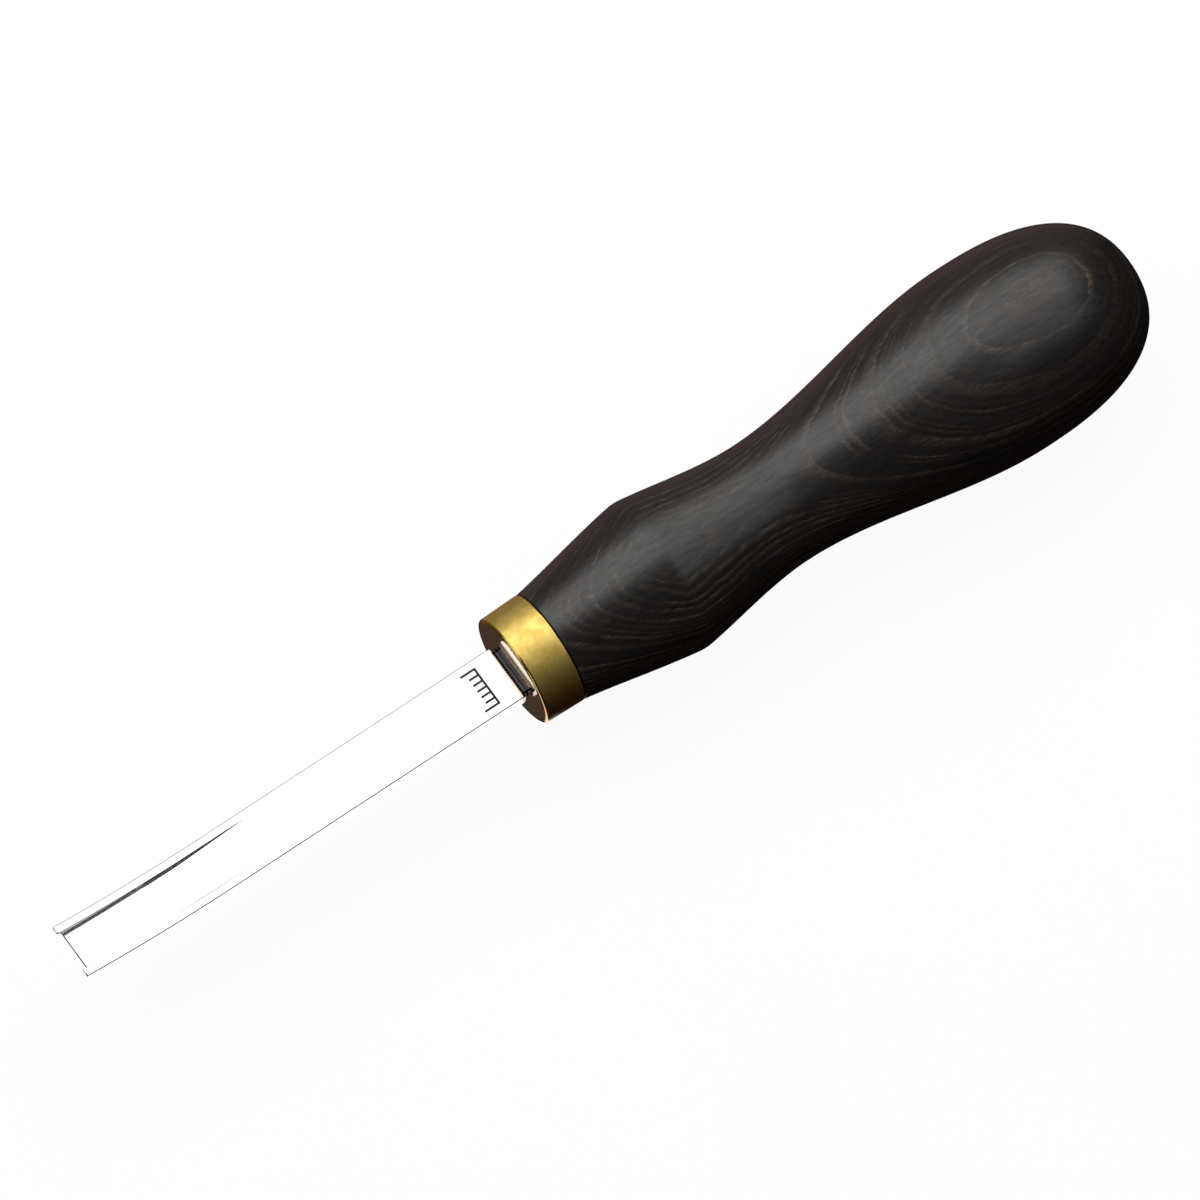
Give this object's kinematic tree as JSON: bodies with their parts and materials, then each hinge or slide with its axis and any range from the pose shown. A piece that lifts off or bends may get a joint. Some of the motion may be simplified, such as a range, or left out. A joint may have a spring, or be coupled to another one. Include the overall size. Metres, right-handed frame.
{
  "type": "carving gouge",
  "caption": "Gouge with a turned dark wood handle, a brass ferrule and a flat steel blade, whose square channel ends in a straight cutting edge between rounded rails.",
  "frame": {"origin": "centre of the tool's bounding box, on the turned handle's axis", "axes": "+X along the tool's axis from the cutting edge to the pommel, +Z out of the blade's channelled face, +Y across the blade"},
  "size_m": [0.1806, 0.0292, 0.0292],
  "materials": {
    "polished_steel": "polished, with fine lengthwise grinding lines",
    "brushed_brass": "satin turned sides, polished front face",
    "blackwood": "satin oil, nearly black with fine brown growth rings",
    "cured_adhesive": "clear amber"
  },
  "bodies": {
    "root": {"blade": "polished_steel", "ferrule": "brushed_brass", "handle": "blackwood", "tang_adhesive": "cured_adhesive"}
  },
  "joints": []
}
